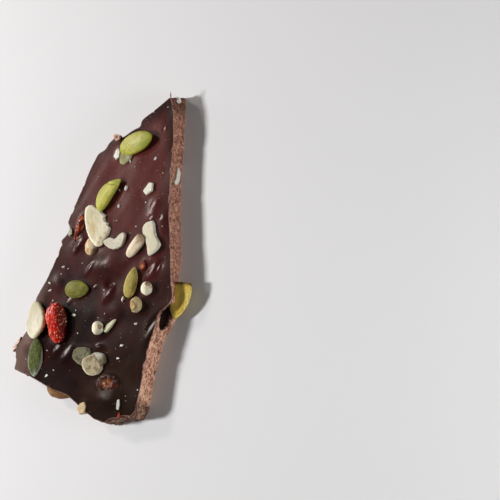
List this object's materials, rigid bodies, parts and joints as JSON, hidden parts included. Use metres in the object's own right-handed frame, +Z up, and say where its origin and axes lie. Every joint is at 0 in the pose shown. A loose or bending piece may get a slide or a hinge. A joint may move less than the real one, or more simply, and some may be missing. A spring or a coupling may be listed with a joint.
{
  "type": "piece of dark chocolate thin with seeds, nuts and dried fruit",
  "caption": "Thin hand-broken slab of dark chocolate, wedge-shaped, with pumpkin seeds, almond flakes, kernels, puffed grains and dried fruit set in its top face.",
  "frame": {"origin": "underside, below the middle of the piece", "axes": "+Z up out of the topped face, +Y along the longest way of the piece towards its narrow end, +X across it towards the straighter break"},
  "size_m": [0.0722, 0.1217, 0.0122],
  "materials": {
    "chocolate": "dark chocolate: soft satin gloss on the cast top and underside, matte and crumbly on the broken edges",
    "seed_light_green": "hulled pumpkin seed, light yellow-green, satin",
    "seed_olive": "hulled pumpkin seed, olive, fine lengthwise grain",
    "seed_dark_green": "hulled pumpkin seed, dark green, pale papery rim",
    "seed_golden": "hulled pumpkin seed, golden olive, snapped brown end",
    "almond": "cut almond flake, cream, matte",
    "almond_skin": "almond in its brown grooved skin",
    "kernel": "shelled sunflower kernel, pale tan",
    "goji": "dried goji berry, bright red, wrinkled, satin with pale specks",
    "cherry": "dried cherry, dark red to brown, sunken middle",
    "cranberry": "strip of dried cranberry, red-brown, glazed"
  },
  "bodies": {
    "root": {"chocolate_thin": "chocolate", "pumpkin_seed_1": "seed_light_green", "pumpkin_seed_2": "seed_olive", "pumpkin_seed_3": "seed_light_green", "pumpkin_seed_4": "seed_olive", "pumpkin_seed_5": "seed_olive", "pumpkin_seed_6": "seed_dark_green", "pumpkin_seed_7": "seed_golden", "almond_flake_1": "almond", "almond_flake_2": "almond", "almond_flake_3": "almond", "almond_flake_4": "almond", "almond_flake_5": "almond", "almond_flake_6": "almond", "almond_in_skin": "almond_skin", "sunflower_kernel_1": "kernel", "sunflower_kernel_2": "kernel", "goji_berry": "goji", "dried_cherry": "cherry", "cranberry_strip": "cranberry"}
  },
  "joints": []
}
